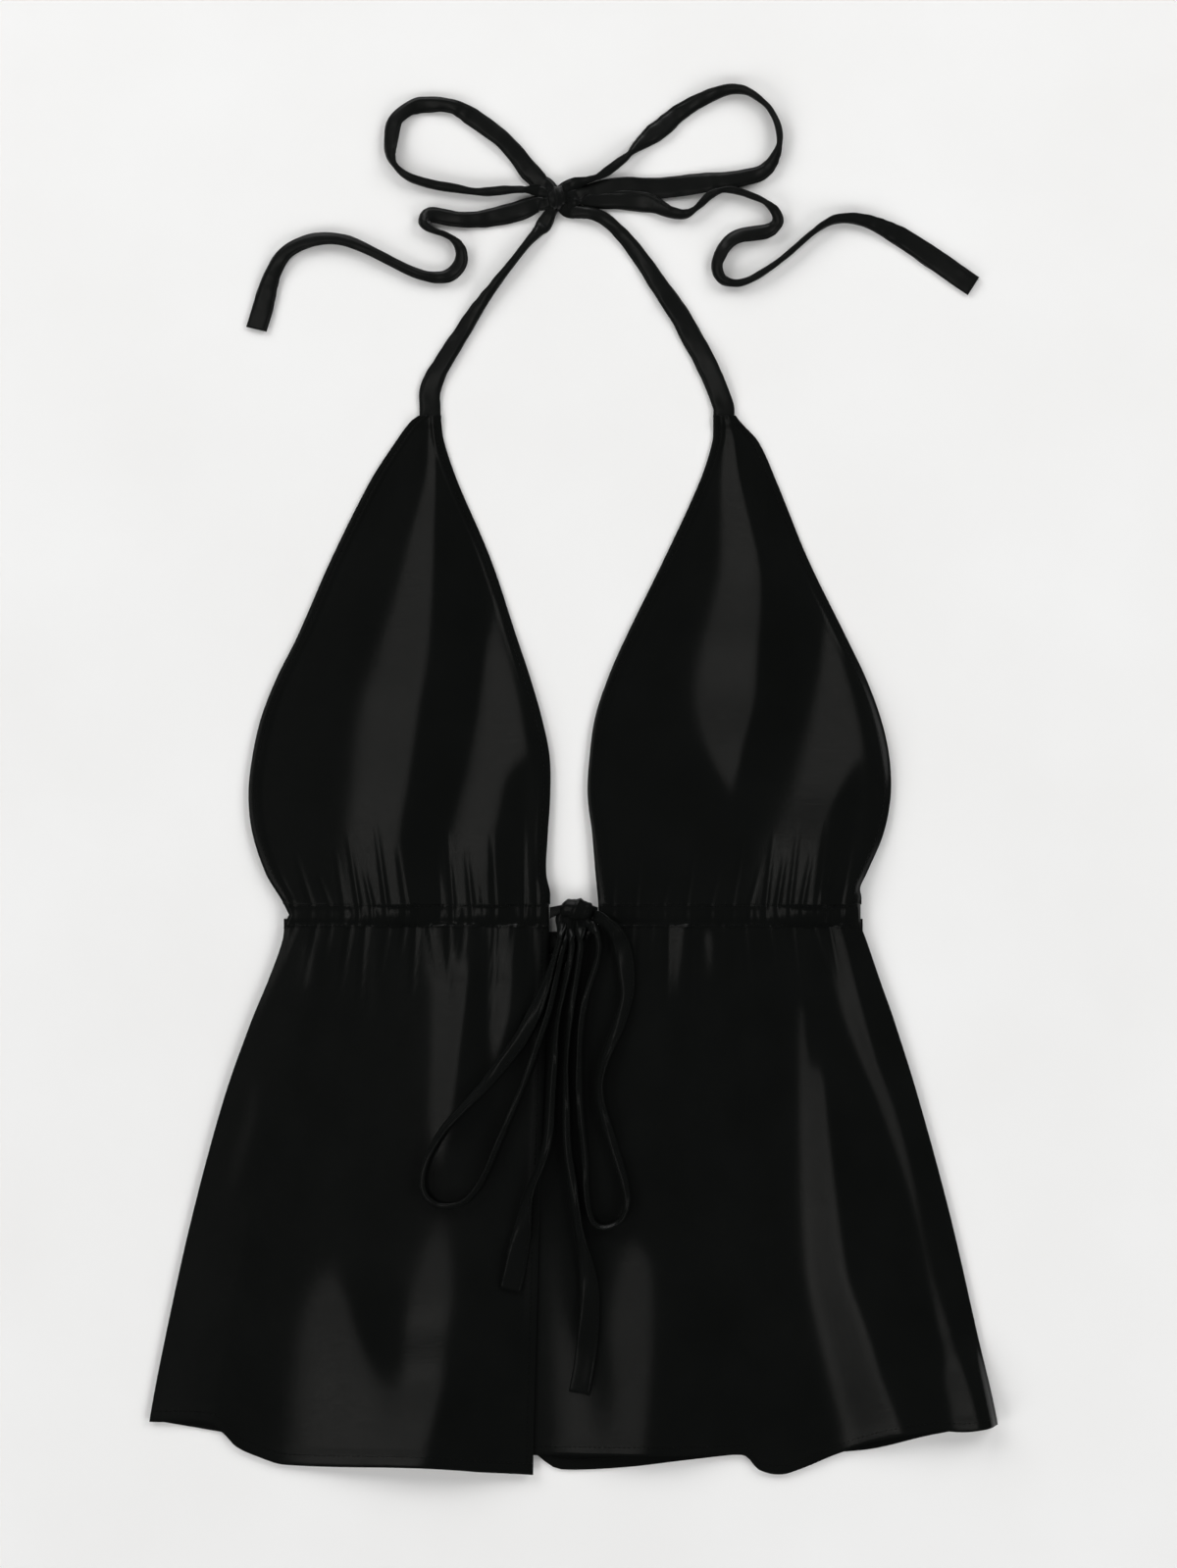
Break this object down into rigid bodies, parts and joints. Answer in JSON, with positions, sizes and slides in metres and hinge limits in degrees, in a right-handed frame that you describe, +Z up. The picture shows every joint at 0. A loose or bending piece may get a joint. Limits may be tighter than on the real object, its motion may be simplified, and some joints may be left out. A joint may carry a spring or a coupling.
{
  "type": "halter neck top",
  "caption": "Black satin halter neck top laid flat: gathered bibs with a deep plunge, a drawstring waist, a split-front peplum, and flat ties in bows.",
  "frame": {"origin": "on the surface that the top lies on, midway between the hem's side corners and midway between the bib tops and the lowest hem", "axes": "+X to the viewer's right across the front, +Y from the hem towards the neck, +Z up out of the front"},
  "size_m": [0.5184, 0.8479, 0.0213],
  "materials": {
    "satin": "soft black satin-weave cloth with a dull sheen",
    "casing": "the same satin, gathered over a drawstring",
    "tape": "folded and stitched self-fabric tape in dull satin"
  },
  "bodies": {
    "root": {"bib_left": "satin", "bib_right": "satin", "casing_front_left": "casing", "casing_front_right": "casing", "casing_back": "casing", "peplum_front_left": "satin", "peplum_front_right": "satin", "peplum_back": "satin", "strap_left": "tape", "strap_right": "tape", "neck_knot": "tape", "neck_loop_left": "tape", "neck_loop_right": "tape", "neck_tail_left": "tape", "neck_tail_right": "tape", "waist_feed_left": "tape", "waist_feed_right": "tape", "waist_knot": "tape", "waist_loop_left": "tape", "waist_loop_right": "tape", "waist_tail_long": "tape", "waist_tail_short": "tape"}
  },
  "joints": []
}
